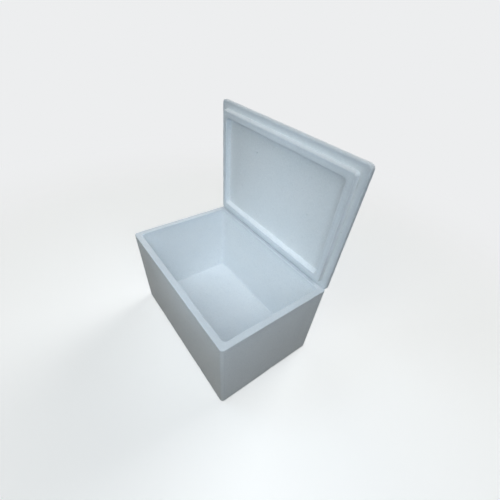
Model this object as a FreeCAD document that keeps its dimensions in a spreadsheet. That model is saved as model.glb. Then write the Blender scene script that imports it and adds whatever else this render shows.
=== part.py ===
"""Moulded foam box with a loose lid that stands open on the rear rim.

Frame: X along the length, Y from front to rear, Z up. The origin is the centre of the box's base,
on the surface that it stands on. Sizes are in millimetres and angles in degrees.
"""
import FreeCAD, Part
import math
import os

import Sketcher

DRIVING_SIZES = [
    ("box_length", 450.0, "outside length of the box and its lid"),
    ("box_width", 300.0, "outside width of the box and its lid"),
    ("box_height", 250.0, "height of the box from its base to its rim"),
    ("wall", 16.0, "thickness of the walls at the rim"),
    ("base_thickness", 20.0, "thickness of the base"),
    ("corner_radius", 9.0, "outside radius of the upright corners"),
    ("inside_radius", 9.0, "inside radius of the upright corners at the rim"),
    ("wall_draft", 0.5, "slope of the inside of the walls, which lets the box leave its mould"),
    ("foot_radius", 4.0, "rounding round the underside of the box"),
    ("floor_radius", 4.0, "rounding between the walls and the floor inside"),
    ("rim_radius", 1.8, "rounding of both edges of the rim"),
    ("lid_thickness", 12.0, "thickness of the lid's flat margin"),
    ("lid_edge_radius", 3.5, "rounding all round the lid's outer edges"),
    ("ring_clearance", 0.8, "play between the lid's ring and the walls"),
    ("ring_height", 11.0, "how far the ring stands proud of the lid's flat margin"),
    ("ring_face", 14.6, "width of the ring's flat face"),
    ("ring_outer_draft", 9.5, "slope of the ring's outer side, which leads the lid in"),
    ("ring_inner_draft", 15.0, "slope of the ring's inner side"),
    ("recess_radius", 8.0, "corner radius of the recess at the ring's face"),
    ("recess_depth", 13.5, "depth of the recess from the ring's face to the middle panel"),
    ("ring_edge_radius", 2.0, "rounding of both edges of the ring's face"),
    ("panel_radius", 2.5, "rounding between the ring's inner side and the middle panel"),
    ("seat_gap", 0.3, "gap between the lid and the rim that it rests on"),
]


def make_sheet(doc):
    """Put the driving sizes in a sheet, one row each, with the value's cell named after the size."""
    sheet = doc.addObject("Spreadsheet::Sheet", "Sizes")
    for row, (name, value, meaning) in enumerate(DRIVING_SIZES, start=1):
        sheet.set("A%d" % row, name)
        sheet.set("B%d" % row, str(value))
        sheet.set("C%d" % row, meaning)
        sheet.setAlias("B%d" % row, name)
    doc.recompute()
    return sheet


def make_body(doc, name):
    """Add an empty body whose label is its name."""
    body = doc.addObject("PartDesign::Body", name)
    body.Label = name
    return body


def level_sketch(body, name, height="0"):
    """Add a sketch parallel to the body's own base plane, at a height given as an expression."""
    plane = [item for item in body.Origin.OriginFeatures if item.Role == "XY_Plane"][0]
    sketch = body.newObject("Sketcher::SketchObject", name)
    sketch.AttachmentSupport = [(plane, "")]
    sketch.MapMode = "FlatFace"
    sketch.setExpression("AttachmentOffset.Base.z", height)
    return sketch


def rounded_rectangle(doc, sketch, length, width, radius):
    """Draw a rectangle with round corners about the sketch's origin, sized by three expressions.

    The outline runs anticlockwise from the front: four straight sides, each followed by the quarter
    circle that leads into the next one.
    """
    half_length, half_width, corner = 60.0, 40.0, 8.0
    flat_x, flat_y = half_length - corner, half_width - corner
    straights = [
        ((-flat_x, -half_width), (flat_x, -half_width)),
        ((half_length, -flat_y), (half_length, flat_y)),
        ((flat_x, half_width), (-flat_x, half_width)),
        ((-half_length, flat_y), (-half_length, -flat_y)),
    ]
    centres = [(flat_x, -flat_y), (flat_x, flat_y), (-flat_x, flat_y), (-flat_x, -flat_y)]
    sides = []
    corners = []
    for number, (start, end) in enumerate(straights):
        line = Part.LineSegment(FreeCAD.Vector(*start, 0), FreeCAD.Vector(*end, 0))
        circle = Part.Circle(FreeCAD.Vector(*centres[number], 0), FreeCAD.Vector(0, 0, 1), corner)
        turn = (number - 1) * math.pi / 2
        sides.append(sketch.addGeometry(line))
        corners.append(sketch.addGeometry(Part.ArcOfCircle(circle, turn, turn + math.pi / 2)))
    start_point, end_point, centre_point = 1, 2, 3
    for number in range(4):
        side, arc = sides[number], corners[number]
        following = sides[(number + 1) % 4]
        level = "Horizontal" if number % 2 == 0 else "Vertical"
        sketch.addConstraint(Sketcher.Constraint("Tangent", side, end_point, arc, start_point))
        sketch.addConstraint(Sketcher.Constraint("Tangent", arc, end_point, following, start_point))
        sketch.addConstraint(Sketcher.Constraint(level, side))
    for other in corners[1:]:
        sketch.addConstraint(Sketcher.Constraint("Equal", corners[0], other))
    sketch_origin = (-1, 1)
    opposite_centres = (corners[0], centre_point, corners[2], centre_point)
    sketch.addConstraint(Sketcher.Constraint("Symmetric", *opposite_centres, *sketch_origin))
    front, right, rear, left = sides
    across = ("DistanceX", left, start_point, right, start_point, 2 * half_length)
    along = ("DistanceY", front, start_point, rear, end_point, 2 * half_width)
    driving = [
        ("length", across, length),
        ("width", along, width),
        ("radius", ("Radius", corners[0], corner), radius),
    ]
    for name, constraint, expression in driving:
        index = sketch.addConstraint(Sketcher.Constraint(*constraint))
        sketch.renameConstraint(index, name)
        sketch.setExpression("Constraints." + name, expression)
    doc.recompute()
    return sketch


def add_pad(doc, body, name, sketch, length, taper="0", downwards=False):
    """Raise a sketch into a solid. A positive taper narrows the solid away from the sketch."""
    pad = body.newObject("PartDesign::Pad", name)
    pad.Profile = sketch
    pad.setExpression("Length", length)
    pad.setExpression("TaperAngle", "-1 * (%s)" % taper)
    pad.Reversed = downwards
    doc.recompute()
    return pad


def add_pocket(doc, body, name, sketch, depth, taper="0", upwards=False):
    """Sink a sketch into the solid. A positive taper narrows the hollow towards its floor."""
    pocket = body.newObject("PartDesign::Pocket", name)
    pocket.Profile = sketch
    pocket.setExpression("Length", depth)
    pocket.setExpression("TaperAngle", "-1 * (%s)" % taper)
    pocket.Reversed = upwards
    doc.recompute()
    return pocket


def add_fillet(doc, body, name, base, heights, radius):
    """Round every edge that lies level at one of the heights."""
    edges = []
    for number, edge in enumerate(base.Shape.Edges, start=1):
        box = edge.BoundBox
        if any(abs(box.ZMin - height) < 0.01 and abs(box.ZMax - height) < 0.01 for height in heights):
            edges.append("Edge%d" % number)
    fillet = body.newObject("PartDesign::Fillet", name)
    fillet.Base = (base, edges)
    fillet.setExpression("Radius", radius)
    doc.recompute()
    return fillet


def make_box(doc, sheet):
    """The open box: a block with upright sides, hollowed from above by a slightly tapered core."""
    body = make_body(doc, "box_body")
    outline = level_sketch(body, "outline")
    rounded_rectangle(doc, outline, "Sizes.box_length", "Sizes.box_width", "Sizes.corner_radius")
    block = add_pad(doc, body, "block", outline, "Sizes.box_height")
    mouth = level_sketch(body, "mouth", "Sizes.box_height")
    rounded_rectangle(
        doc,
        mouth,
        "Sizes.box_length - 2 * Sizes.wall",
        "Sizes.box_width - 2 * Sizes.wall",
        "Sizes.inside_radius",
    )
    hollow = add_pocket(
        doc, body, "hollow", mouth, "Sizes.box_height - Sizes.base_thickness", "Sizes.wall_draft"
    )
    foot = add_fillet(doc, body, "foot_rounding", hollow, [0.0], "Sizes.foot_radius")
    floor = add_fillet(doc, body, "floor_rounding", foot, [sheet.base_thickness], "Sizes.floor_radius")
    add_fillet(doc, body, "rim_rounding", floor, [sheet.box_height], "Sizes.rim_radius")
    return body


def make_lid(doc, sheet):
    """The lid: a flat plate whose underside carries a raised ring round a sunk middle panel.

    It is drawn as it lies on the box: the plate's flat margin is at height zero, the plate above it
    and the ring below. The ring takes its size from the inside of the walls, less the clearance.
    """
    body = make_body(doc, "lid")
    outline = level_sketch(body, "lid_outline")
    rounded_rectangle(doc, outline, "Sizes.box_length", "Sizes.box_width", "Sizes.corner_radius")
    plate = add_pad(doc, body, "plate", outline, "Sizes.lid_thickness")
    rounded = add_fillet(
        doc, body, "lid_edge_rounding", plate, [0.0, sheet.lid_thickness], "Sizes.lid_edge_radius"
    )
    inset = "2 * (Sizes.wall + Sizes.ring_clearance)"
    ring_outline = level_sketch(body, "ring_outline")
    rounded_rectangle(
        doc,
        ring_outline,
        "Sizes.box_length - " + inset,
        "Sizes.box_width - " + inset,
        "Sizes.inside_radius - Sizes.ring_clearance",
    )
    plug = add_pad(
        doc, body, "plug", ring_outline, "Sizes.ring_height", "Sizes.ring_outer_draft", downwards=True
    )
    face_inset = inset + " - 2 * (Sizes.ring_height * tan(Sizes.ring_outer_draft * 1deg) + Sizes.ring_face)"
    ring_mouth = level_sketch(body, "ring_mouth", "-1 * Sizes.ring_height")
    rounded_rectangle(
        doc,
        ring_mouth,
        "Sizes.box_length - " + face_inset,
        "Sizes.box_width - " + face_inset,
        "Sizes.recess_radius",
    )
    recess = add_pocket(
        doc, body, "recess", ring_mouth, "Sizes.recess_depth", "Sizes.ring_inner_draft", upwards=True
    )
    panel_height = sheet.recess_depth - sheet.ring_height
    panel = add_fillet(doc, body, "panel_rounding", recess, [panel_height], "Sizes.panel_radius")
    add_fillet(doc, body, "ring_rounding", panel, [-sheet.ring_height], "Sizes.ring_edge_radius")
    return body


def stand_lid_open(lid):
    """Stand the lid on its rear edge, on the rear rim, with its underside to the front.

    The lid tips about the centre of its rear lower rounding, so that the rounding stays on the rim
    and the lid's rear edge comes down flush with the rear wall.
    """
    upright = FreeCAD.Rotation(FreeCAD.Vector(1, 0, 0), -90)
    lid.Placement = FreeCAD.Placement(FreeCAD.Vector(0, 0, 0), upright)
    lid.setExpression("Placement.Base.y", "Sizes.box_width / 2 - 2 * Sizes.lid_edge_radius")
    lid.setExpression("Placement.Base.z", "Sizes.box_height + Sizes.seat_gap + Sizes.box_width / 2")


def check_and_write(doc, bodies):
    """Stop if any object failed or any shape is unsound, then write one file for each body."""
    doc.recompute()
    for item in doc.Objects:
        if "Invalid" in item.State or "Error" in item.State:
            raise RuntimeError("%s failed: %s" % (item.Name, item.State))
    for body in bodies:
        if body.Shape.isNull() or not body.Shape.isValid() or len(body.Shape.Solids) != 1:
            raise RuntimeError("%s is not one sound solid" % body.Label)
    os.makedirs("parts", exist_ok=True)
    for body in bodies:
        body.Shape.exportStep(os.path.join("parts", body.Label + ".step"))
        print("%s: volume %.0f mm3" % (body.Label, body.Shape.Volume))


document = FreeCAD.newDocument("foam_box")
sizes = make_sheet(document)
box = make_box(document, sizes)
lid = make_lid(document, sizes)
stand_lid_open(lid)
check_and_write(document, [box, lid])
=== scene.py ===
"""Looks of a moulded polystyrene foam box whose loose lid stands open on the rear rim.

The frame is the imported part's: metres, X along the length, Y from front to rear, Z up, with the origin
at the centre of the base. Both mouldings are surfaces worked out here: a section through the wall is
carried round a rectangle with round corners and closed by a flat cap at each end.
"""
import logging
import math
from abc import ABC, abstractmethod
from dataclasses import dataclass, field
from enum import Enum
from typing import Any, ClassVar

import bpy
import numpy as np
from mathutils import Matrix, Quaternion, Vector


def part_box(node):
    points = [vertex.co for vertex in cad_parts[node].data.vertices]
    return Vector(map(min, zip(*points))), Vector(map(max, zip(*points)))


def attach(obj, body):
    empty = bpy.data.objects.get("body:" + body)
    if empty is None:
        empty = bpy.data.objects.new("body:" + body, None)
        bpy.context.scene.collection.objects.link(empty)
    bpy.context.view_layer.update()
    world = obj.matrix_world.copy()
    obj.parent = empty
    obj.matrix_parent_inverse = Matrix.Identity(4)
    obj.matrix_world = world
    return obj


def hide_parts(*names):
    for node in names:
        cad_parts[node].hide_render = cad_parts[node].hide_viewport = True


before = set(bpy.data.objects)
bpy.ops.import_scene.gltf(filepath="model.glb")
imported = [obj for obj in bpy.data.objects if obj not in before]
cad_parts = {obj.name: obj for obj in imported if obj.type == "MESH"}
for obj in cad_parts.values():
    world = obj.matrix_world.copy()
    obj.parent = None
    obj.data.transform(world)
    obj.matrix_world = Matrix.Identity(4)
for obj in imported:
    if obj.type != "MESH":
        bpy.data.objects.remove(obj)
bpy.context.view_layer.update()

MILLIMETRE = 0.001
LOG = logging.getLogger("foam_box")

# A Mix node names its sockets alike for numbers, vectors and colours, so the colours go by number.
MIX_SHARE, MIX_FIRST, MIX_SECOND, MIX_RESULT = 0, 6, 7, 2


class Tone(Enum):
    """The colours of the scene, as sRGB hex values."""

    FOAM = "#F5FAFE"
    # Painted shade: the darker colour of the seams between beads, where shade falls.
    SEAM_PAINTED_SHADE = "#DFE5EB"
    # Painted shade: the darker colour of the pits, where shade falls.
    PIT_PAINTED_SHADE = "#CBD0D5"
    # Grey of rubbed edges, and painted shade on the box's whole rim top.
    HANDLED_AND_PAINTED_SHADE = "#D6DADD"
    BACKDROP = "#EDEEEF"
    FLOOR_SEEN = "#F2F0ED"
    FLOOR_UNLIT = "#32312F"
    LAMP_WARM = "#FFF6D8"
    LAMP_PLAIN = "#F8FCFF"
    LAMP_COOL = "#DAEEFF"


class BeadFusion(Enum):
    """How tightly the beads have fused against the mould, as a share of the usual depth of their seams."""

    TIGHT = 0.7
    USUAL = 1.0


def linear(tone: Tone) -> tuple[float, float, float, float]:
    """Turn an sRGB hex colour into the linear values that a shader takes.

    A channel s becomes s / 12.92 near black, and ((s + 0.055) / 1.055) to the power 2.4 above that.

    Args:
        tone: The colour.

    Returns:
        Red, green and blue in linear light, and an alpha of one.
    """
    channels = [int(tone.value[i:i + 2], 16) / 255 for i in (1, 3, 5)]
    red, green, blue = (c / 12.92 if c <= 0.04045 else ((c + 0.055) / 1.055) ** 2.4 for c in channels)
    return red, green, blue, 1.0


def soft_noise(
    points: np.ndarray, wavelength: float, seed: int, waves: int = 20,
    spread: tuple[float, float] = (0.75, 1.35),
) -> np.ndarray:
    """Smooth random heights: the scaled sum of plane waves of nearly one length in random directions.

    Args:
        points: Places, one row each, in metres.
        wavelength: Typical distance from crest to crest, in metres.
        seed: Picks the pattern, which is the same at each run.
        waves: How many plane waves are summed.
        spread: The shortest and the longest wave, as shares of the typical one.

    Returns:
        One height for each point, mostly between -1 and 1.
    """
    draw = np.random.default_rng(seed)
    directions = draw.normal(size=(waves, 3))
    directions /= np.linalg.norm(directions, axis=1, keepdims=True)
    lengths = wavelength * draw.uniform(*spread, waves)
    phases = draw.uniform(0.0, 2.0 * np.pi, waves)
    turns = points @ (directions * (2.0 * np.pi / lengths)[:, None]).T + phases
    return np.cos(turns).sum(axis=1) / math.sqrt(2.0 * waves)


@dataclass(frozen=True)
class Knee:
    """A corner of a section before it is rounded.

    Attributes:
        inset: Distance in from the straight sides of the outline.
        height: Height in the moulding's own frame.
        rounding: Radius that rounds the section here.
        centre: How far in from the sides the centre of the upright corner's arc lies.
        edge: One on an edge that hands and knocks reach, and zero elsewhere.
    """

    inset: float
    height: float
    rounding: float
    centre: float
    edge: float = 0.0


@dataclass(frozen=True)
class Section:
    """Points of a section from the middle of one face to the middle of the other, outside on the right.

    Attributes:
        inset: Each point's distance in from the straight sides of the outline.
        height: Its height in the moulding's own frame.
        centre: How far in from the sides the centre of the upright corner's arc lies there.
        out: How far its outward direction points away from the middle.
        up: How far its outward direction points up.
        edge: How much hands and knocks reach it, from zero to one.
        support: Distance of the extra point that stands close to each arc.
        support_share: The most of a run that this distance takes.
        arc_step: The turn between two points of an arc.
        wear_fade: How far the wear of an edge reaches along a run.
    """

    inset: np.ndarray
    height: np.ndarray
    centre: np.ndarray
    out: np.ndarray
    up: np.ndarray
    edge: np.ndarray

    support: ClassVar[float] = 0.4 * MILLIMETRE
    support_share: ClassVar[float] = 0.2
    arc_step: ClassVar[float] = math.radians(15.0)
    wear_fade: ClassVar[float] = 5.0 * MILLIMETRE

    @classmethod
    def through(cls, knees: list[Knee], step: float) -> "Section":
        """Round a chain of knees into a section.

        Each knee becomes an arc that starts and ends rounding x tan(half the turn) away from it, and the
        runs between the arcs are divided evenly, with one more point close to each arc.

        Args:
            knees: The chain; the first and the last are open ends that aren't rounded.
            step: Spacing of the points along the runs.

        Returns:
            The section with its outward directions.
        """
        rows: list[np.ndarray] = []
        start = knees[0]
        leave = np.array([-start.inset, start.height])
        leave_centre, leave_edge = start.centre, start.edge
        for here, after in zip(knees[1:], knees[2:] + [None]):
            corner = np.array([-here.inset, here.height])
            before = corner - leave
            before /= np.linalg.norm(before)
            if after is None:
                rows.append(cls._run(leave, corner, leave_centre, here.centre, leave_edge, here.edge, step))
                break
            ahead = np.array([-after.inset, after.height]) - corner
            ahead /= np.linalg.norm(ahead)
            turn = math.atan2(before[0] * ahead[1] - before[1] * ahead[0], float(before @ ahead))
            reach = here.rounding * math.tan(abs(turn) / 2.0)
            enter = corner - before * reach
            rows.append(cls._run(leave, enter, leave_centre, here.centre, leave_edge, here.edge, step))
            rows.append(cls._arc(enter, before, turn, here))
            leave, leave_centre, leave_edge = corner + ahead * reach, here.centre, here.edge
        table = np.concatenate(rows)
        return cls(-table[:, 0], table[:, 1], table[:, 2], table[:, 3], table[:, 4], table[:, 5])

    @classmethod
    def _run(
        cls, start: np.ndarray, end: np.ndarray, centre_from: float, centre_to: float,
        edge_from: float, edge_to: float, step: float,
    ) -> np.ndarray:
        """Lay out a straight run, whose two ends are left to the arcs there.

        A point is the start plus a share of the way to the end, and its centre is shared out alike. Its
        wear is the greater of the two edges' own, each falling off exponentially with the distance.

        Args:
            start: Where the run begins.
            end: Where it ends.
            centre_from: The corner's centre at the start, as a distance in from the sides.
            centre_to: The same at the end.
            edge_from: The wear at the start.
            edge_to: The wear at the end.
            step: Spacing of the points.

        Returns:
            A row for each point: its place, centre, outward direction and wear.
        """
        length = float(np.linalg.norm(end - start))
        support = min(cls.support, cls.support_share * length) / length
        inner = np.linspace(0.0, 1.0, max(2, round(length / step) + 1))[1:-1]
        share = np.unique(np.concatenate([[support], inner, [1.0 - support]]))
        heading = (end - start) / length
        place = start + share[:, None] * (end - start)
        edge = np.maximum(
            edge_from * np.exp(-share * length / cls.wear_fade),
            edge_to * np.exp(-(1.0 - share) * length / cls.wear_fade),
        )
        centre = centre_from + share * (centre_to - centre_from)
        outward = np.broadcast_to([heading[1], -heading[0]], place.shape)
        return np.column_stack([place, centre, outward, edge])

    @classmethod
    def _arc(cls, enter: np.ndarray, heading: np.ndarray, turn: float, knee: Knee) -> np.ndarray:
        """Lay out the arc at a knee.

        The outward direction turns evenly from that of the run before. A point is the arc's centre plus
        the radius times that direction, or minus it where the arc turns to the right.

        Args:
            enter: Where the arc begins.
            heading: The direction of the run before it.
            turn: How far the section turns here, to the left where it is above zero.
            knee: The knee.

        Returns:
            A row for each point, as for a run.
        """
        side = math.copysign(1.0, turn)
        steps = max(3, round(abs(turn) / cls.arc_step))
        angle = np.linspace(0.0, turn, steps + 1)
        centre = enter + side * knee.rounding * np.array([-heading[1], heading[0]])
        outward = np.array([heading[1], -heading[0]])
        cosine, sine = np.cos(angle), np.sin(angle)
        turned = np.column_stack(
            [cosine * outward[0] - sine * outward[1], sine * outward[0] + cosine * outward[1]]
        )
        place = centre + side * knee.rounding * turned
        rest = np.broadcast_to([knee.centre], (steps + 1, 1))
        return np.column_stack([place, rest, turned, np.full((steps + 1, 1), knee.edge)])


@dataclass(frozen=True)
class Loop:
    """Stations once round a rectangle with round corners, anticlockwise from the front left corner.

    A station keeps the share of the corner centre's place that it takes, and the direction in which it
    stands off from there: place = share x centre + radius x direction. So the same stations fit every
    size of loop, and those of two loops lie opposite each other.

    Attributes:
        share: Each station's share of the corner centre's x and y.
        direction: The direction in which it stands off.
        across: Steps on a long side, with half of the arc at each of its ends.
        along: The same on a short side.
    """

    share: np.ndarray
    direction: np.ndarray
    across: int
    along: int

    @classmethod
    def of(cls, across: np.ndarray, along: np.ndarray, half_arc: int) -> "Loop":
        """Lay out the stations.

        A side with half of the arc before it and half of the one after it is laid out as the front one,
        and then turned by as many right angles as there are sides before it.

        Args:
            across: Places of the stations on the long sides, from -1 to 1.
            along: The same on the short sides.
            half_arc: Steps in each half of a corner's arc.

        Returns:
            The loop.
        """
        shares, directions = [], []
        angle = np.radians(np.linspace(0.0, 45.0, half_arc + 1))
        for quarter, straight in enumerate([across, along, across, along]):
            leaving = np.column_stack([-np.sin(angle[::-1]), -np.cos(angle[::-1])])[:-1]
            flat = np.broadcast_to([0.0, -1.0], (len(straight), 2))
            joining = np.column_stack([np.sin(angle), -np.cos(angle)])[1:-1]
            share = np.concatenate(
                [
                    np.broadcast_to([-1.0, -1.0], leaving.shape),
                    np.column_stack([straight, -np.ones_like(straight)]),
                    np.broadcast_to([1.0, -1.0], joining.shape),
                ]
            )
            cosine, sine = round(math.cos(quarter * math.pi / 2)), round(math.sin(quarter * math.pi / 2))
            spin = np.array([[cosine, sine], [-sine, cosine]])
            shares.append(share @ spin)
            directions.append(np.concatenate([leaving, flat, joining]) @ spin)
        steps = [len(straight) - 1 + 2 * half_arc for straight in (across, along)]
        return cls(np.concatenate(shares), np.concatenate(directions), steps[0], steps[1])


@dataclass
class Surface:
    """A closed surface.

    Attributes:
        points: Its places.
        normals: The outward direction at each.
        wear: How much hands and knocks reach each, from zero to one; the box's whole rim top also gets it as
            painted shade.
        quads: Its four-sided faces, as numbers of their points.
        corner_wear: The wear of the upright corners.
    """

    points: np.ndarray
    normals: np.ndarray
    wear: np.ndarray
    quads: np.ndarray

    corner_wear: ClassVar[float] = 0.35

    @classmethod
    def carried(cls, section: Section, loop: Loop, half: tuple[float, float]) -> "Surface":
        """Carry a section round a loop and close it with a flat cap at each end.

        Each point of the section makes a ring. Its corner centres lie in from the outline's corners by
        the section's centre, its radius is that centre less the inset, and a point of the ring is
        share x centre + radius x direction, at the section's height.

        Args:
            section: The section, from the middle of the lower face to the middle of the upper one.
            loop: The stations round the outline.
            half: Half of the outline's length and width.

        Returns:
            The surface. The caps' own points come after those of the rings, the lower cap's first.
        """
        rings, stations = len(section.inset), len(loop.share)
        centre = np.array(half)[None, :] - section.centre[:, None]
        radius = section.centre - section.inset
        plan = loop.share[None] * centre[:, None] + radius[:, None, None] * loop.direction[None]
        height = np.broadcast_to(section.height[:, None, None], (rings, stations, 1))
        points = np.concatenate([plan, height], axis=2).reshape(-1, 3)
        outward = section.out[:, None, None] * loop.direction[None]
        upward = np.broadcast_to(section.up[:, None, None], (rings, stations, 1))
        normals = np.concatenate([outward, upward], axis=2).reshape(-1, 3)
        at_corner = np.isclose(np.abs(loop.share).min(axis=1), 1.0)
        faces_out = section.out > 0.5
        wear = np.maximum(section.edge[:, None], cls.corner_wear * at_corner[None] * faces_out[:, None])
        ring, station = np.meshgrid(np.arange(rings - 1), np.arange(stations), indexing="ij")
        following = (station + 1) % stations
        corners = [(ring, station), (ring, following), (ring + 1, following), (ring + 1, station)]
        walls = np.stack([k * stations + j for k, j in corners], axis=-1).reshape(-1, 4)
        lower, lower_quads = cls._cap(plan[0], section.height[0], loop, 0, len(points))
        upper_first = len(points) + len(lower)
        last_ring = (rings - 1) * stations
        upper, upper_quads = cls._cap(plan[-1], section.height[-1], loop, last_ring, upper_first)
        flat = [np.broadcast_to([0.0, 0.0, up], cap.shape) for cap, up in ((lower, -1.0), (upper, 1.0))]
        return cls(
            np.concatenate([points, lower, upper]),
            np.concatenate([normals, *flat]),
            np.concatenate([wear.ravel(), np.zeros(len(lower) + len(upper))]),
            np.concatenate([walls, lower_quads[:, ::-1], upper_quads]),
        )

    @staticmethod
    def _cap(
        rim: np.ndarray, height: float, loop: Loop, rim_first: int, own_first: int
    ) -> tuple[np.ndarray, np.ndarray]:
        """Fill a loop with a grid that blends its four sides.

        A grid point is the blend of front and rear plus the blend of left and right, less the blend of
        the four corners.

        Args:
            rim: The loop's points, one row of x and y each.
            height: The cap's height.
            loop: The stations of the loop.
            rim_first: Number of the loop's first point.
            own_first: Number that the cap's first inner point gets.

        Returns:
            The inner points, and the faces as numbers of their four points, facing up.
        """
        wide, deep = loop.across, loop.along
        closed = np.concatenate([np.arange(len(rim)), [0]])
        sides = np.split(closed, [wide, wide + deep, 2 * wide + deep])
        front = np.append(sides[0], sides[1][0])
        right = np.append(sides[1], sides[2][0])
        rear = np.append(sides[2], sides[3][0])[::-1]
        left = sides[3][::-1]
        u = ((rim[front, 0] - rim[front[0], 0]) / np.ptp(rim[front, 0]))[:, None, None]
        v = ((rim[right, 1] - rim[right[0], 1]) / np.ptp(rim[right, 1]))[None, :, None]
        across = (1 - v) * rim[front][:, None] + v * rim[rear][:, None]
        along = (1 - u) * rim[left][None] + u * rim[right][None]
        low = (1 - u) * rim[front[0]] + u * rim[front[-1]]
        high = (1 - u) * rim[rear[0]] + u * rim[rear[-1]]
        grid = across + along - ((1 - v) * low + v * high)
        inner = grid[1:-1, 1:-1].reshape(-1, 2)
        number = np.zeros(grid.shape[:2], int)
        number[1:-1, 1:-1] = own_first + np.arange(len(inner)).reshape(grid.shape[0] - 2, -1)
        number[:, 0], number[:, -1] = rim_first + front, rim_first + rear
        number[0], number[-1] = rim_first + left, rim_first + right
        quads = np.stack([number[:-1, :-1], number[1:, :-1], number[1:, 1:], number[:-1, 1:]], axis=-1)
        return np.column_stack([inner, np.full(len(inner), height)]), quads.reshape(-1, 4)

    def press_in(self, depth: np.ndarray) -> None:
        """Move each point into the foam by its depth, which is zero or more, so nothing grows."""
        self.points = self.points - self.normals * np.maximum(depth, 0.0)[:, None]


def smooth_piece(name: str, points: np.ndarray, faces: list[list[int]]) -> bpy.types.Object:
    """Make a smoothly shaded object and put it in the scene.

    Args:
        name: Its name.
        points: Its places, one row each, in metres.
        faces: Its faces, as numbers of their points.

    Returns:
        The object, which sits at the origin.
    """
    mesh = bpy.data.meshes.new(name)
    mesh.from_pydata(points.tolist(), [], faces)
    mesh.shade_smooth()
    mesh.update()
    piece = bpy.data.objects.new(name, mesh)
    bpy.context.scene.collection.objects.link(piece)
    return piece


def add_node(
    tree: bpy.types.NodeTree, kind: str, settings: dict[str, Any] | None = None,
    links: dict[str | int, Any] | None = None,
) -> bpy.types.Node:
    """Add a node with its settings, and fill its inputs.

    Args:
        tree: The tree that it joins.
        kind: The node's type name.
        settings: Values of its own properties.
        links: For each input, by name or number, the socket that feeds it, or a plain value.

    Returns:
        The node.
    """
    node = tree.nodes.new(kind)
    for name, value in (settings or {}).items():
        setattr(node, name, value)
    for name, source in (links or {}).items():
        if isinstance(source, bpy.types.NodeSocket):
            tree.links.new(source, node.inputs[name])
        else:
            node.inputs[name].default_value = source
    return node


@dataclass(frozen=True)
class FoamPattern:
    """The sockets that the foam's colour, sheen and relief are mixed from.

    Attributes:
        place: Where a point lies in the pattern.
        seam: One on a seam between two beads, and zero on the beads.
        bead_tone: A random tone for each bead.
        pit: One in a pit, and zero elsewhere.
        patch: A slow unevenness from one patch to the next.
        worn: How much hands and knocks reach the point; on the box's whole rim top it also stands for
            painted shade.
    """

    place: bpy.types.NodeSocket
    seam: bpy.types.NodeSocket
    bead_tone: bpy.types.NodeSocket
    pit: bpy.types.NodeSocket
    patch: bpy.types.NodeSocket
    worn: bpy.types.NodeSocket


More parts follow.
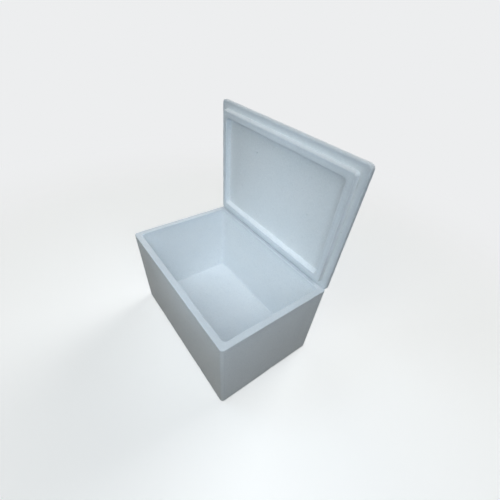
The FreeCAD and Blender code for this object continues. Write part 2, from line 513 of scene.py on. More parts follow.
@dataclass(frozen=True)
class MouldedPolystyreneFoam:
    """Expanded polystyrene, steam-moulded from beads.

    The beads swell against the mould's wall and fuse there into flat rounded cells with shallow seams
    between them. That gives the eye a white, faintly quilted skin with a soft sheen, dull in the seams,
    and small pits where three beads didn't quite meet; the seams and pits carry painted shade. The foam
    throws nearly all light back, after it has wandered a few millimetres from bead to bead, so edges and
    steps look soft, and the inside of the box looks brighter than its rim, whose top also carries
    painted shade.

    Attributes:
        name: The material's name.
        bead: Typical width of a bead, in metres.
        fusion: How tightly the beads have fused.
        shift: Moves the pattern, so that two mouldings don't share one.
        wandering: The share of the light that wanders from bead to bead before it comes back.
        light_reach: How far it wanders.
        refraction: The index of refraction of the beads' skin.
        gloss: The strength of its reflection.
        bead_scatter: How irregular the beads are.
        seam_width: Half of a seam's width, in beads.
        seam_depth: Depth of a seam.
        seam_painted_shade: How much painted shade darkens the seams.
        pit_spacing: Typical distance from one pit to the next.
        pit_core: Where a pit is deepest and where it ends, in spacings.
        pit_painted_shade: How much painted shade darkens the pits.
        pit_fall: How deep a pit is, in seams.
        grain_width: Width of the fine unevenness of the skin.
        relief: How strongly the relief shows.
        patch_width: Typical width of a patch.
        patch_range: The range of the slow unevenness that is used.
        tones: The darkest and the lightest tone of a bead or patch.
        satin: The roughness of the best and of the most open patches.
        seam_dulling: How much rougher the seams are.
        wear_dulling: How much rougher worn edges are.
        grey_least: The share of the grey of wear and painted shade on the cleanest patches.
        grey_more: How much of it the others add at most.
    """

    name: str
    bead: float = 4.2 * MILLIMETRE
    fusion: BeadFusion = BeadFusion.USUAL
    shift: tuple[float, float, float] = (0.0, 0.0, 0.0)
    wandering: float = 0.9

    light_reach: ClassVar[float] = 4.0 * MILLIMETRE
    refraction: ClassVar[float] = 1.55
    gloss: ClassVar[float] = 0.35
    bead_scatter: ClassVar[float] = 0.85
    seam_width: ClassVar[float] = 0.16
    seam_depth: ClassVar[float] = 0.18 * MILLIMETRE
    seam_painted_shade: ClassVar[float] = 0.4
    pit_spacing: ClassVar[float] = 21.0 * MILLIMETRE
    pit_core: ClassVar[tuple[float, float]] = (0.02, 0.07)
    pit_painted_shade: ClassVar[float] = 0.6
    pit_fall: ClassVar[float] = 2.0
    grain_width: ClassVar[float] = 1.6 * MILLIMETRE
    relief: ClassVar[float] = 0.6
    patch_width: ClassVar[float] = 60.0 * MILLIMETRE
    patch_range: ClassVar[tuple[float, float]] = (0.3, 0.7)
    tones: ClassVar[tuple[float, float]] = (0.985, 1.015)
    satin: ClassVar[tuple[float, float]] = (0.50, 0.62)
    seam_dulling: ClassVar[float] = 0.18
    wear_dulling: ClassVar[float] = 0.12
    grey_least: ClassVar[float] = 0.4
    grey_more: ClassVar[float] = 0.5

    def make(self) -> bpy.types.Material:
        """Build the material's nodes.

        Returns:
            The material.
        """
        material = bpy.data.materials.new(self.name)
        material.use_nodes = True
        tree = material.node_tree
        tree.nodes.clear()
        pattern = self._pattern(tree)
        skin = add_node(
            tree, "ShaderNodeBsdfPrincipled", None,
            {"Base Color": self._colour(tree, pattern), "Roughness": self._roughness(tree, pattern),
             "Normal": self._relief(tree, pattern), "IOR": self.refraction,
             "Specular IOR Level": self.gloss, "Subsurface Weight": self.wandering,
             "Subsurface Radius": (1.0, 1.0, 1.0), "Subsurface Scale": self.light_reach},
        )
        add_node(tree, "ShaderNodeOutputMaterial", None, {"Surface": skin.outputs["BSDF"]})
        return material

    def _pattern(self, tree: bpy.types.NodeTree) -> FoamPattern:
        """Lay out the beads, pits, patches and wear.

        Args:
            tree: The material's tree.

        Returns:
            Their sockets.
        """
        still = add_node(tree, "ShaderNodeTexCoord").outputs["Object"]
        moved = add_node(tree, "ShaderNodeMapping", None, {"Vector": still, "Location": self.shift})
        place = moved.outputs["Vector"]
        seam, bead_tone = self._beads(tree, place)
        patch = add_node(
            tree, "ShaderNodeTexNoise", None,
            {"Vector": place, "Scale": 1.0 / self.patch_width, "Detail": 3.0, "Roughness": 0.55},
        )
        worn = add_node(tree, "ShaderNodeAttribute", {"attribute_name": "wear"})
        pit = self._pits(tree, place)
        return FoamPattern(place, seam, bead_tone, pit, patch.outputs["Fac"], worn.outputs["Fac"])

    def _beads(
        self, tree: bpy.types.NodeTree, place: bpy.types.NodeSocket
    ) -> tuple[bpy.types.NodeSocket, bpy.types.NodeSocket]:
        """Fill space with cells one bead wide.

        Args:
            tree: The material's tree.
            place: Where a point lies in the pattern.

        Returns:
            How near a point is to a seam, which rises smoothly to one there, and a tone for each bead.
        """
        cells = {"Vector": place, "Scale": 1.0 / self.bead, "Randomness": self.bead_scatter}
        border = add_node(tree, "ShaderNodeTexVoronoi", {"feature": "DISTANCE_TO_EDGE"}, cells)
        seam = add_node(
            tree, "ShaderNodeMapRange", {"interpolation_type": "SMOOTHSTEP"},
            {"Value": border.outputs["Distance"], "From Min": 0.0, "From Max": self.seam_width,
             "To Min": 1.0, "To Max": 0.0},
        )
        body = add_node(tree, "ShaderNodeTexVoronoi", {"feature": "F1"}, cells)
        tone = add_node(tree, "ShaderNodeSeparateColor", None, {"Color": body.outputs["Color"]})
        return seam.outputs["Result"], tone.outputs["Red"]

    def _pits(self, tree: bpy.types.NodeTree, place: bpy.types.NodeSocket) -> bpy.types.NodeSocket:
        """Strew sparse pits about two millimetres wide: the cores of far larger cells.

        Args:
            tree: The material's tree.
            place: Where a point lies in the pattern.

        Returns:
            One in a pit, and zero elsewhere.
        """
        cells = add_node(
            tree, "ShaderNodeTexVoronoi", {"feature": "F1"},
            {"Vector": place, "Scale": 1.0 / self.pit_spacing},
        )
        core = add_node(
            tree, "ShaderNodeMapRange", {"interpolation_type": "SMOOTHSTEP"},
            {"Value": cells.outputs["Distance"], "From Min": self.pit_core[0], "From Max": self.pit_core[1],
             "To Min": 1.0, "To Max": 0.0},
        )
        return core.outputs["Result"]

    def _colour(self, tree: bpy.types.NodeTree, pattern: FoamPattern) -> bpy.types.NodeSocket:
        """Mix white foam with painted shade in the seams and pits, and grey of wear and painted shade.

        The tones of the bead and of the patch multiply the white. The grey is wear on the edges, and on the
        box's whole rim top painted shade too; its share is the wear times a line that rises with the patch.

        Args:
            tree: The material's tree.
            pattern: The sockets to mix from.

        Returns:
            The colour.
        """
        # Painted shade: the seams are darkened as if shade fell in them.
        seams = add_node(
            tree, "ShaderNodeMath", {"operation": "MULTIPLY"},
            {0: pattern.seam, 1: self.seam_painted_shade * self.fusion.value},
        )
        skin = add_node(
            tree, "ShaderNodeMix", {"data_type": "RGBA"},
            {MIX_SHARE: seams.outputs[0], MIX_FIRST: linear(Tone.FOAM), MIX_SECOND: linear(Tone.SEAM_PAINTED_SHADE)},
        )
        # Painted shade: the pits are darkened as if shade fell in them.
        pit_shade_share = add_node(
            tree, "ShaderNodeMath", {"operation": "MULTIPLY"}, {0: pattern.pit, 1: self.pit_painted_shade}
        )
        foam = add_node(
            tree, "ShaderNodeMix", {"data_type": "RGBA"},
            {MIX_SHARE: pit_shade_share.outputs[0], MIX_FIRST: skin.outputs[MIX_RESULT], MIX_SECOND: linear(Tone.PIT_PAINTED_SHADE)},
        )
        mottle = add_node(
            tree, "ShaderNodeMapRange", None,
            {"Value": pattern.patch, "From Min": self.patch_range[0], "From Max": self.patch_range[1],
             "To Min": self.tones[0], "To Max": self.tones[1]},
        )
        grain = add_node(
            tree, "ShaderNodeMapRange", None,
            {"Value": pattern.bead_tone, "To Min": self.tones[0], "To Max": self.tones[1]},
        )
        level = add_node(
            tree, "ShaderNodeMath", {"operation": "MULTIPLY"}, {0: mottle.outputs[0], 1: grain.outputs[0]}
        )
        lit = add_node(
            tree, "ShaderNodeVectorMath", {"operation": "SCALE"},
            {0: foam.outputs[MIX_RESULT], "Scale": level.outputs[0]},
        )
        # Grey of wear on the edges, and painted shade on the box's whole rim top.
        uneven = add_node(
            tree, "ShaderNodeMath", {"operation": "MULTIPLY_ADD"},
            {0: pattern.patch, 1: self.grey_more, 2: self.grey_least},
        )
        share = add_node(
            tree, "ShaderNodeMath", {"operation": "MULTIPLY"}, {0: pattern.worn, 1: uneven.outputs[0]}
        )
        handled_and_painted_shade = add_node(
            tree, "ShaderNodeMix", {"data_type": "RGBA"},
            {MIX_SHARE: share.outputs[0], MIX_FIRST: lit.outputs[0], MIX_SECOND: linear(Tone.HANDLED_AND_PAINTED_SHADE)},
        )
        return handled_and_painted_shade.outputs[MIX_RESULT]

    def _roughness(self, tree: bpy.types.NodeTree, pattern: FoamPattern) -> bpy.types.NodeSocket:
        """Make the beads' skin satin, and duller in the seams, in open patches and along worn edges.

        Args:
            tree: The material's tree.
            pattern: The sockets to mix from.

        Returns:
            The roughness: that of the patch, plus the seams' share and the wear's.
        """
        skin = add_node(
            tree, "ShaderNodeMapRange", None,
            {"Value": pattern.patch, "From Min": self.patch_range[0], "From Max": self.patch_range[1],
             "To Min": self.satin[0], "To Max": self.satin[1]},
        )
        seams = add_node(
            tree, "ShaderNodeMath", {"operation": "MULTIPLY_ADD"},
            {0: pattern.seam, 1: self.seam_dulling, 2: skin.outputs[0]},
        )
        edges = add_node(
            tree, "ShaderNodeMath", {"operation": "MULTIPLY_ADD"},
            {0: pattern.worn, 1: self.wear_dulling, 2: seams.outputs[0]},
        )
        return edges.outputs[0]

    def _relief(self, tree: bpy.types.NodeTree, pattern: FoamPattern) -> bpy.types.NodeSocket:
        """Raise the beads slightly over their seams and pits, with a very finely uneven skin.

        Args:
            tree: The material's tree.
            pattern: The sockets to mix from.

        Returns:
            The direction of the skin, bent by a height that is the fine unevenness less seams and pits.
        """
        fine = add_node(
            tree, "ShaderNodeTexNoise", None,
            {"Vector": pattern.place, "Scale": 1.0 / self.grain_width, "Detail": 2.0},
        )
        beads = add_node(
            tree, "ShaderNodeMath", {"operation": "MULTIPLY_ADD"},
            {0: pattern.seam, 1: -1.0, 2: fine.outputs["Fac"]},
        )
        height = add_node(
            tree, "ShaderNodeMath", {"operation": "MULTIPLY_ADD"},
            {0: pattern.pit, 1: -self.pit_fall, 2: beads.outputs[0]},
        )
        bump = add_node(
            tree, "ShaderNodeBump", None,
            {"Strength": self.relief * self.fusion.value, "Distance": self.seam_depth,
             "Height": height.outputs[0]},
        )
        return bump.outputs["Normal"]


@dataclass
class Moulding(ABC):
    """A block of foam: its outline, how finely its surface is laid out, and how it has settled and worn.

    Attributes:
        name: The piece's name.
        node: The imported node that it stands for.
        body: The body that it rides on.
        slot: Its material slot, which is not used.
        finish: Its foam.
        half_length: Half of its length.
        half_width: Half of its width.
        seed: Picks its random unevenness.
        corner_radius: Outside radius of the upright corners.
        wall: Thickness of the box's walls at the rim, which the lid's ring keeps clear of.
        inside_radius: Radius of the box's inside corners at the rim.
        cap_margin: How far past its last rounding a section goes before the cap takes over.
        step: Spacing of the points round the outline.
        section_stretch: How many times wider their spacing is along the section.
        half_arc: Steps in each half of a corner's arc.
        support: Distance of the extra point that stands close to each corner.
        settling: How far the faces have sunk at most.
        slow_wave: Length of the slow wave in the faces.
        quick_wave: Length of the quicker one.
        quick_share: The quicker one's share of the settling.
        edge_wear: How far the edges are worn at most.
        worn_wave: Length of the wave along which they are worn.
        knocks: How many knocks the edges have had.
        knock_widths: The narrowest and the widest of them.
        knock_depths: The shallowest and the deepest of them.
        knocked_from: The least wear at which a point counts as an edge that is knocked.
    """

    name: str
    node: str
    body: str
    slot: str
    finish: MouldedPolystyreneFoam
    half_length: float
    half_width: float
    seed: int
    corner_radius: float = 9.0 * MILLIMETRE
    wall: float = 16.0 * MILLIMETRE
    inside_radius: float = 9.0 * MILLIMETRE
    cap_margin: float = 0.5 * MILLIMETRE
    step: float = 4.0 * MILLIMETRE
    section_stretch: float = 1.4
    half_arc: int = 5
    support: float = 1.0 * MILLIMETRE
    settling: float = 0.22 * MILLIMETRE
    slow_wave: float = 150.0 * MILLIMETRE
    quick_wave: float = 38.0 * MILLIMETRE
    quick_share: float = 0.25
    edge_wear: float = 0.30 * MILLIMETRE
    worn_wave: float = 24.0 * MILLIMETRE
    knocks: int = 12
    knock_widths: tuple[float, float] = (3.5 * MILLIMETRE, 7.0 * MILLIMETRE)
    knock_depths: tuple[float, float] = (0.25 * MILLIMETRE, 0.7 * MILLIMETRE)
    knocked_from: float = 0.95

    @abstractmethod
    def knees(self) -> list[Knee]:
        """The corners of the section, from the middle of the lower face to the middle of the upper one."""

    @property
    def inside_centre(self) -> float:
        """How far in from the sides the centres of the inside corners lie."""
        return self.wall + self.inside_radius

    def loop(self) -> Loop:
        """Space the stations evenly round the outline, with one more close to each corner.

        Returns:
            The stations.
        """
        sides = []
        for half in (self.half_length, self.half_width):
            flat = 2.0 * (half - self.corner_radius)
            support = self.support / (flat / 2.0)
            even = np.linspace(-1.0, 1.0, round(flat / self.step) + 1)
            sides.append(np.sort(np.concatenate([even, [support - 1.0, 1.0 - support]])))
        return Loop.of(sides[0], sides[1], self.half_arc)

    def surface(self) -> Surface:
        """Shape the block, with the slight unevenness of a moulding that has cooled and been handled.

        Returns:
            Its surface.
        """
        section = Section.through(self.knees(), self.step * self.section_stretch)
        made = Surface.carried(section, self.loop(), (self.half_length, self.half_width))
        made.press_in(self.unevenness(made))
        return made

    def unevenness(self, made: Surface) -> np.ndarray:
        """How far each point lies inside the drawn shape.

        The faces have settled by a slow wave and a quicker, smaller one. Along the edges the wear adds
        to that where a third wave is high, and each knock is a small bell-shaped dent.

        Args:
            made: The surface as drawn.

        Returns:
            A depth for each point, zero or more.
        """
        slow = 0.5 + 0.5 * soft_noise(made.points, self.slow_wave, self.seed)
        quick = 0.5 + 0.5 * soft_noise(made.points, self.quick_wave, self.seed + 1)
        worn = np.clip(soft_noise(made.points, self.worn_wave, self.seed + 2), 0.0, 1.0)
        sunk = self.settling * ((1.0 - self.quick_share) * slow + self.quick_share * quick)
        return np.maximum(sunk + self.edge_wear * made.wear * worn, 0.0) + self.dents(made)

    def dents(self, made: Surface) -> np.ndarray:
        """Knock the edges: each dent falls off with the square of the distance, as a bell does.

        Args:
            made: The surface as drawn.

        Returns:
            The dents' depth at each point.
        """
        draw = np.random.default_rng(self.seed + 3)
        edge = np.flatnonzero(made.wear > self.knocked_from)
        middles = made.points[draw.choice(edge, self.knocks, replace=False)]
        widths = draw.uniform(*self.knock_widths, self.knocks)
        depths = draw.uniform(*self.knock_depths, self.knocks)
        away = np.linalg.norm(made.points[:, None] - middles[None], axis=2) / widths
        return (depths * np.exp(-away * away)).sum(axis=1)

    def placed(self, points: np.ndarray) -> np.ndarray:
        """Turn and move the block from its own frame to where it stands."""
        return points

    def build(self) -> bpy.types.Object:
        """Make the object, which stands for its node and rides on its body.

        Returns:
            The finished piece.
        """
        made = self.surface()
        piece = smooth_piece(self.name, self.placed(made.points), made.quads.tolist())
        wear = piece.data.attributes.new("wear", "FLOAT", "POINT")
        wear.data.foreach_set("value", made.wear.astype(np.float32))
        self.dress(piece)
        return piece

    def dress(self, piece: bpy.types.Object) -> None:
        """Give the piece its foam, its body and its node.

        Args:
            piece: The object.
        """
        piece.data.materials.append(self.finish.make())
        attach(piece, self.body)
        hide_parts(self.node)


@dataclass
class OpenBox(Moulding):
    """The box: an upright wall all round, tapered slightly inside, on a flat base.

    Attributes:
        height: Height from the base to the rim.
        base: Thickness of the base.
        wall_draft: Slope of the inside of the walls, which lets the box leave its mould.
        foot_radius: Rounding round the underside.
        floor_radius: Rounding between the walls and the floor inside.
        rim_radius: Rounding of both edges of the rim.
        rim_wear_and_painted_shade: How much grey the whole rim top gets: the rubbing of hands and the lid,
            and painted shade.
        inner_rim_wear: How much knocks reach its inner edge.
    """

    height: float = 250.0 * MILLIMETRE
    base: float = 20.0 * MILLIMETRE
    wall_draft: float = math.radians(0.5)
    foot_radius: float = 4.0 * MILLIMETRE
    floor_radius: float = 4.0 * MILLIMETRE
    rim_radius: float = 1.8 * MILLIMETRE
    rim_wear_and_painted_shade: float = 0.9
    inner_rim_wear: float = 0.8

    def knees(self) -> list[Knee]:
        """Go round the underside, outer wall, rim, inner wall and floor.

        Returns:
            The corners of the section.
        """
        outer = self.corner_radius
        inner = self.inside_centre
        narrowing = (self.height - self.base) * math.tan(self.wall_draft)
        lip = self.wall + narrowing
        return [
            Knee(self.foot_radius + self.cap_margin, 0.0, 0.0, outer),
            Knee(0.0, 0.0, self.foot_radius, outer, edge=1.0),
            Knee(0.0, self.height, self.rim_radius, outer, edge=1.0),
            Knee(self.wall, self.height, self.rim_radius, inner, edge=self.inner_rim_wear),
            Knee(lip, self.base, self.floor_radius, inner),
            Knee(lip + self.floor_radius + self.cap_margin, self.base, 0.0, inner),
        ]

    def surface(self) -> Surface:
        """Shape the box, and mark its whole rim top for grey, as wear from the lid and hands and as painted
        shade.

        Returns:
            Its surface.
        """
        made = super().surface()
        # Painted shade: the whole rim top gets the grey of wear, so that it reads darker than the inside.
        faces_up = made.normals[:, 2] > 0.9
        on_rim = faces_up & (made.points[:, 2] > self.height - 2.0 * self.rim_radius)
        made.wear = np.where(on_rim, np.maximum(made.wear, self.rim_wear_and_painted_shade), made.wear)
        return made


@dataclass
class Lid(Moulding):
    """The lid: a flat plate whose underside carries a raised ring round a sunk middle panel.

    It is drawn as it lies on the box, with its flat margin at height zero and the ring below.

    Attributes:
        thickness: Thickness of the flat margin.
        edge_radius: Rounding all round the outer edges.
        ring_clearance: Play between the ring and the walls.
        ring_height: How far the ring stands proud of the margin.
        ring_face: Width of the ring's flat face.
        ring_outer_draft: Slope of the ring's outer side, which leads the lid in.
        ring_inner_draft: Slope of its inner side.
        recess_radius: Corner radius of the recess at the ring's face.
        recess_depth: Depth of the recess from the ring's face to the middle panel.
        ring_root_radius: Rounding between the ring and the margin.
        ring_edge_radius: Rounding of both edges of the ring's face.
        panel_radius: Rounding between the ring's inner side and the middle panel.
        ring_inner_wear: How much knocks reach the inner edge of the ring's face.
        ring_outer_wear: How much they reach its outer edge.
        rim_height: Height of the rim that the lid stands on.
        seat_gap: Gap between the lid and that rim.
    """

    thickness: float = 12.0 * MILLIMETRE
    edge_radius: float = 3.5 * MILLIMETRE
    ring_clearance: float = 0.8 * MILLIMETRE
    ring_height: float = 11.0 * MILLIMETRE
    ring_face: float = 14.6 * MILLIMETRE
    ring_outer_draft: float = math.radians(9.5)
    ring_inner_draft: float = math.radians(15.0)
    recess_radius: float = 8.0 * MILLIMETRE
    recess_depth: float = 13.5 * MILLIMETRE
    ring_root_radius: float = 0.8 * MILLIMETRE
    ring_edge_radius: float = 2.0 * MILLIMETRE
    panel_radius: float = 2.5 * MILLIMETRE
    ring_inner_wear: float = 0.5
    ring_outer_wear: float = 0.7
    rim_height: float = 250.0 * MILLIMETRE
    seat_gap: float = 0.3 * MILLIMETRE

    def knees(self) -> list[Knee]:
        """Go round the middle panel, ring, flat margin, outer edge and top.

        Returns:
            The corners of the section.
        """
        outer = self.corner_radius
        root = self.wall + self.ring_clearance
        face_out = root + self.ring_height * math.tan(self.ring_outer_draft)
        face_in = face_out + self.ring_face
        panel = face_in + self.recess_depth * math.tan(self.ring_inner_draft)
        panel_height = self.recess_depth - self.ring_height
        face_height = -self.ring_height
        ring_centre = self.inside_centre
        recess_centre = face_in + self.recess_radius
        start = panel + self.panel_radius + self.cap_margin
        return [
            Knee(start, panel_height, 0.0, recess_centre),
            Knee(panel, panel_height, self.panel_radius, recess_centre),
            Knee(face_in, face_height, self.ring_edge_radius, recess_centre, edge=self.ring_inner_wear),
            Knee(face_out, face_height, self.ring_edge_radius, ring_centre, edge=self.ring_outer_wear),
            Knee(root, 0.0, self.ring_root_radius, ring_centre),
            Knee(0.0, 0.0, self.edge_radius, outer, edge=1.0),
            Knee(0.0, self.thickness, self.edge_radius, outer, edge=1.0),
            Knee(self.edge_radius + self.cap_margin, self.thickness, 0.0, outer),
        ]

    def placed(self, points: np.ndarray) -> np.ndarray:
        """Stand the lid on its rear edge: its depth becomes its height, and its height its depth.

        Args:
            points: Places in the lid's own frame.

        Returns:
            Their places on the box.
        """
        forward = self.half_width - 2.0 * self.edge_radius
        raised = self.rim_height + self.seat_gap + self.half_width
        return np.column_stack([points[:, 0], points[:, 2] + forward, raised - points[:, 1]])


@dataclass
class ProudBeads:
    """The few beads that stand a little proud of the lid's middle panel, as one piece.

    Attributes:
        lid: The lid that they sit on.
        finish: Their foam.
        name: The piece's name.
        places: For each bead, its distance to the right of the middle and above the lid's lower edge.
        radius: Their radius along the panel.
        rise: How far they stand off it.
        around: Points round each bead.
        down: Steps from one pole of a bead to the other.
    """

    lid: Lid
    finish: MouldedPolystyreneFoam
    name: str = "proud_foam_beads"
    places: tuple[tuple[float, float], ...] = ((-0.0758, 0.2187), (-0.1372, 0.1444), (0.1159, 0.1508))
    radius: float = 2.2 * MILLIMETRE
    rise: float = 2.0 * MILLIMETRE
    around: int = 12
    down: int = 6

    def build(self) -> bpy.types.Object:
        """Make the beads, each half sunk in the panel, which ride with the lid.

        Returns:
            The finished piece.
        """
        panel = self.lid.recess_depth - self.lid.ring_height
        flat = np.array([(across, self.lid.half_width - above, panel) for across, above in self.places])
        ball, parts = self._ball()
        points = (self.lid.placed(flat)[:, None] + ball[None]).reshape(-1, 3)
        first = len(ball) * np.arange(len(flat))[:, None, None]
        faces = [face for part in parts for face in (first + part).reshape(-1, part.shape[1]).tolist()]
        piece = smooth_piece(self.name, points, faces)
        self.dress(piece)
        return piece

    def _ball(self) -> tuple[np.ndarray, list[np.ndarray]]:
        """Shape one bead round the origin: a ball that is flattened to its rise.

        A point is the radius times its direction along the panel, plus the rise times its direction off
        the panel.

        Returns:
            The points, and the faces as numbers of them: the band's, the outer pole's and the sunk one's.
        """
        tilt, turn = np.meshgrid(
            np.linspace(0.0, np.pi, self.down + 1)[1:-1],
            np.linspace(0.0, 2.0 * np.pi, self.around, endpoint=False), indexing="ij",
        )
        along = self.radius * np.sin(tilt)
        rings = np.stack([along * np.cos(turn), -self.rise * np.cos(tilt), along * np.sin(turn)], axis=-1)
        points = np.concatenate([rings.reshape(-1, 3), [[0.0, -self.rise, 0.0], [0.0, self.rise, 0.0]]])
        row, column = np.meshgrid(np.arange(self.down - 2), np.arange(self.around), indexing="ij")
        following = (column + 1) % self.around
        corners = [(row, column), (row + 1, column), (row + 1, following), (row, following)]
        band = np.stack([k * self.around + j for k, j in corners], axis=-1).reshape(-1, 4)
        station, last = column[0], (self.down - 2) * self.around
        pole = np.full_like(station, len(points) - 2)
        outer = np.stack([station, following[0], pole], axis=-1)
        sunk = np.stack([last + following[0], last + station, pole + 1], axis=-1)
        return points, [band, outer, sunk]

    def dress(self, piece: bpy.types.Object) -> None:
        """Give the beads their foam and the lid's body.

        Args:
            piece: The object.
        """
        piece.data.materials.append(self.finish.make())
        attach(piece, self.lid.body)


@dataclass(frozen=True)
class Lamp(ABC):
    """A soft lamp.

    Attributes:
        name: Its name.
        strength: How much light it gives at the box.
        tone: Its colour.
    """

    name: str
    strength: float
    tone: Tone

    @abstractmethod
    def build(self) -> bpy.types.Object:
        """Make the lamp, pointed at the box."""

    def hang(self, lamp: bpy.types.Light, place: Vector, towards: Vector) -> bpy.types.Object:
        """Put the lamp in its place.

        Args:
            lamp: The lamp's data, which gets its colour here.
            place: Where it hangs.
            towards: The direction from what it lights to the lamp.

        Returns:
            The lamp's object, which the camera doesn't see.
        """
        lamp.color = linear(self.tone)[:3]
        holder = bpy.data.objects.new(self.name, lamp)
        bpy.context.scene.collection.objects.link(holder)
        holder.location = place
        holder.rotation_mode = "QUATERNION"
        holder.rotation_quaternion = towards.to_track_quat("Z", "Y")
        holder.visible_camera = False
        return holder


@dataclass(frozen=True)
class FarLamp(Lamp):
    """A wide lamp, far enough away to light everything alike.

    Attributes:
        azimuth: Where it stands, in degrees: 0 is in front of the box and 90 to its right.
        elevation: Its height above the floor, in degrees.
        spread: How wide it looks from the box, in degrees.
    """

    azimuth: float
    elevation: float
    spread: float = 34.0

    def build(self) -> bpy.types.Object:
        """Make the lamp.

        Returns:
            Its object.
        """
        lamp = bpy.data.lights.new(self.name, "SUN")
        lamp.energy = self.strength
        lamp.angle = math.radians(self.spread)
        turn, rise = math.radians(self.azimuth), math.radians(self.elevation)
        towards = Vector((math.sin(turn) * math.cos(rise), -math.cos(turn) * math.cos(rise), math.sin(rise)))
        return self.hang(lamp, Vector(), towards)


@dataclass(frozen=True)
class SoftBox(Lamp):
    """A round soft box close to the box, which favours what lies near it.

    Its power is four pi times its strength and the square of its distance, so that the strength means
    the same as a far lamp's.

    Attributes:
        place: Where it hangs.
        aim: The point that it faces.
        width: Its width as a share of its distance.
        beam: How wide the beam is that its grid leaves, in degrees.
    """

    place: tuple[float, float, float]
    aim: tuple[float, float, float] = (0.0, 0.0, 0.25)
    width: float = 0.4
    beam: float = 180.0

    def build(self) -> bpy.types.Object:
        """Make the soft box.

        Returns:
            Its object.
        """
        towards = Vector(self.place) - Vector(self.aim)
        lamp = bpy.data.lights.new(self.name, "AREA")
        lamp.shape = "DISK"
        lamp.size = self.width * towards.length
        lamp.spread = math.radians(self.beam)
        lamp.energy = 4.0 * math.pi * self.strength * towards.length_squared
        return self.hang(lamp, Vector(self.place), towards)


def studio_lamps() -> list[Lamp]:
    """List the lamps: one high on the right, lower ones all round, and cool soft boxes over the box.

    Returns:
        The lamps.
    """
    return [
        FarLamp("high_right_lamp", 0.774, Tone.LAMP_PLAIN, 60.0, 62.0),
        FarLamp("front_lamp", 0.254, Tone.LAMP_WARM, 0.0, 38.0),
        FarLamp("front_left_lamp", 0.246, Tone.LAMP_COOL, -45.0, 38.0),
        FarLamp("right_lamp", 0.088, Tone.LAMP_WARM, 90.0, 38.0),
        FarLamp("left_lamp", 0.6, Tone.LAMP_PLAIN, -90.0, 15.0),
        FarLamp("rear_lamp", 1.35, Tone.LAMP_PLAIN, 190.0, 28.0),
        SoftBox("left_soft_box", 0.125, Tone.LAMP_COOL, (-0.1, -0.3, 0.7)),
        SoftBox("right_soft_box", 0.15, Tone.LAMP_COOL, (0.75, -0.3, 0.7)),
        SoftBox(
            "lid_soft_box", 0.024, Tone.LAMP_COOL, (0.15, -0.42, 0.62), aim=(0.0, 0.14, 0.26), beam=60.0
        ),
    ]


def seen_directly(tree: bpy.types.NodeTree) -> bpy.types.NodeSocket:
    """Tell what is seen from light on its way.

    Args:
        tree: The tree of the material or the world.

    Returns:
        One where the camera, gloss or glass looks at the surface, and zero for light on its way.
    """
    path = add_node(tree, "ShaderNodeLightPath")
    gloss = add_node(
        tree, "ShaderNodeMath", {"operation": "MAXIMUM"},
        {0: path.outputs["Is Camera Ray"], 1: path.outputs["Is Glossy Ray"]},
    )
    seen = add_node(
        tree, "ShaderNodeMath", {"operation": "MAXIMUM"},
        {0: gloss.outputs[0], 1: path.outputs["Is Transmission Ray"]},
    )
    return seen.outputs[0]


@dataclass(frozen=True)
class MattStudioFloor:
    """Matt pale card.

    Near the box its own glow and the light that it catches add up to the backdrop's paleness, so that it
    keeps the box's shadow, and farther out it fades into the backdrop. That paleness is for the eye and
    for gloss only. To light on its way the floor is dark, as the surroundings of the real box were, so
    that the outer walls stay as quiet as in the photograph.

    Attributes:
        name: The material's name.
        glow: The strength of its own glow.
        fade_from: Distance from the box at which it starts to fade.
        fade_to: Distance at which only the backdrop's colour is left.
    """

    name: str = "matt_studio_floor"
    glow: float = 0.37
    fade_from: float = 0.7
    fade_to: float = 1.6

    def make(self) -> bpy.types.Material:
        """Build the material's nodes.

        Returns:
            The material.
        """
        material = bpy.data.materials.new(self.name)
        material.use_nodes = True
        tree = material.node_tree
        tree.nodes.clear()
        catch = add_node(tree, "ShaderNodeBsdfDiffuse", None, {"Color": linear(Tone.FLOOR_SEEN)})
        glow = add_node(
            tree, "ShaderNodeEmission", None, {"Color": linear(Tone.BACKDROP), "Strength": self.glow}
        )
        near = add_node(tree, "ShaderNodeAddShader", None, {0: catch.outputs[0], 1: glow.outputs[0]})
        far = add_node(tree, "ShaderNodeEmission", None, {"Color": linear(Tone.BACKDROP), "Strength": 1.0})
        place = add_node(tree, "ShaderNodeTexCoord").outputs["Object"]
        distance = add_node(tree, "ShaderNodeVectorMath", {"operation": "LENGTH"}, {0: place})
        fade = add_node(
            tree, "ShaderNodeMapRange", {"interpolation_type": "SMOOTHERSTEP"},
            {"Value": distance.outputs["Value"], "From Min": self.fade_from, "From Max": self.fade_to},
        )
        pale = add_node(
            tree, "ShaderNodeMixShader", None, {0: fade.outputs[0], 1: near.outputs[0], 2: far.outputs[0]}
        )
        dark = add_node(tree, "ShaderNodeBsdfDiffuse", None, {"Color": linear(Tone.FLOOR_UNLIT)})
        both = add_node(
            tree, "ShaderNodeMixShader", None,
            {0: seen_directly(tree), 1: dark.outputs[0], 2: pale.outputs[0]},
        )
        add_node(tree, "ShaderNodeOutputMaterial", None, {"Surface": both.outputs[0]})
        return material


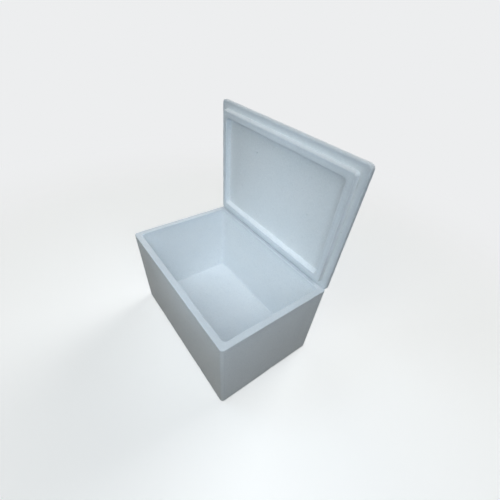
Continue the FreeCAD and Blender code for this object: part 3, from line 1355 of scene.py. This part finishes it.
@dataclass
class Studio:
    """A pale floor that runs into an equally pale backdrop, and the soft lamps.

    Attributes:
        floor_half: Half of the floor's width.
        floor_finish: What the floor is made of.
        lamps: The lamps.
    """

    floor_half: float = 40.0
    floor_finish: MattStudioFloor = MattStudioFloor()
    lamps: list[Lamp] = field(default_factory=studio_lamps)

    def build(self) -> None:
        """Make the floor, the backdrop and the lamps."""
        self._floor()
        self._backdrop()
        for lamp in self.lamps:
            lamp.build()

    def _floor(self) -> None:
        """Lay a level sheet under the box."""
        half = self.floor_half
        corners = [(-half, -half, 0.0), (half, -half, 0.0), (half, half, 0.0), (-half, half, 0.0)]
        mesh = bpy.data.meshes.new("floor")
        mesh.from_pydata(corners, [], [(0, 1, 2, 3)])
        mesh.materials.append(self.floor_finish.make())
        floor = bpy.data.objects.new("floor", mesh)
        bpy.context.scene.collection.objects.link(floor)

    def _backdrop(self) -> None:
        """Make the world: pale where the camera looks past the floor, and dark to light on its way."""
        world = bpy.data.worlds.new("studio_backdrop")
        bpy.context.scene.world = world
        world.use_nodes = True
        tree = world.node_tree
        tree.nodes.clear()
        backdrop = add_node(
            tree, "ShaderNodeBackground", None,
            {"Color": linear(Tone.BACKDROP), "Strength": seen_directly(tree)},
        )
        add_node(tree, "ShaderNodeOutputWorld", None, {"Surface": backdrop.outputs[0]})


@dataclass(frozen=True)
class Viewpoint:
    """Where the photograph was taken from.

    Attributes:
        place: The camera's place, in metres.
        aim: A point on the optical axis.
        roll: How far the camera is turned about that axis, in degrees.
        focal_share: Focal length as a share of the picture's side.
        offset: How far the axis meets the picture to the right of its middle and below it, as shares.
        sight: The nearest and the farthest distance that it sees.
    """

    place: tuple[float, float, float] = (0.4509, -0.2911, 0.7173)
    aim: tuple[float, float, float] = (0.1335, -0.0140, 0.2901)
    roll: float = 5.94
    focal_share: float = 0.5426
    offset: tuple[float, float] = (0.0018, 0.0636)
    sight: tuple[float, float] = (0.01, 200.0)

    def build(self) -> None:
        """Make the scene's camera."""
        camera = bpy.data.cameras.new("photo_camera")
        camera.lens = self.focal_share * camera.sensor_width
        camera.shift_x, camera.shift_y = -self.offset[0], self.offset[1]
        camera.clip_start, camera.clip_end = self.sight
        holder = bpy.data.objects.new("photo_camera", camera)
        bpy.context.scene.collection.objects.link(holder)
        holder.location = self.place
        forward = Vector(self.aim) - Vector(self.place)
        level = forward.to_track_quat("-Z", "Y")
        holder.rotation_mode = "QUATERNION"
        holder.rotation_quaternion = level @ Quaternion((0.0, 0.0, 1.0), math.radians(self.roll))
        bpy.context.scene.camera = holder


def main() -> None:
    """Build the box, its lid and the studio, and report each piece."""
    logging.basicConfig(level=logging.INFO, format="%(name)s: %(message)s")
    low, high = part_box("box_body")
    half_length, half_width = high.x, high.y
    box = OpenBox(
        "foam_box_shell", "box_body", "box", "foam_box",
        MouldedPolystyreneFoam("moulded_polystyrene_foam_box"),
        half_length, half_width, seed=11, height=high.z - low.z,
    )
    tight_foam = MouldedPolystyreneFoam(
        "moulded_polystyrene_foam_lid", fusion=BeadFusion.TIGHT, shift=(0.31, 0.17, 0.05)
    )
    lid = Lid(
        "foam_lid_shell", "lid", "lid", "foam_lid", tight_foam,
        half_length, half_width, seed=29, rim_height=high.z,
    )
    beads = ProudBeads(lid, MouldedPolystyreneFoam("proud_polystyrene_beads", wandering=0.0))
    for part in (box, lid, beads):
        piece = part.build()
        LOG.info("%s: %d faces", piece.name, len(piece.data.polygons))
    Studio().build()
    Viewpoint().build()
    bpy.context.scene.view_settings.view_transform = "Standard"


if __name__ == "__main__":
    main()
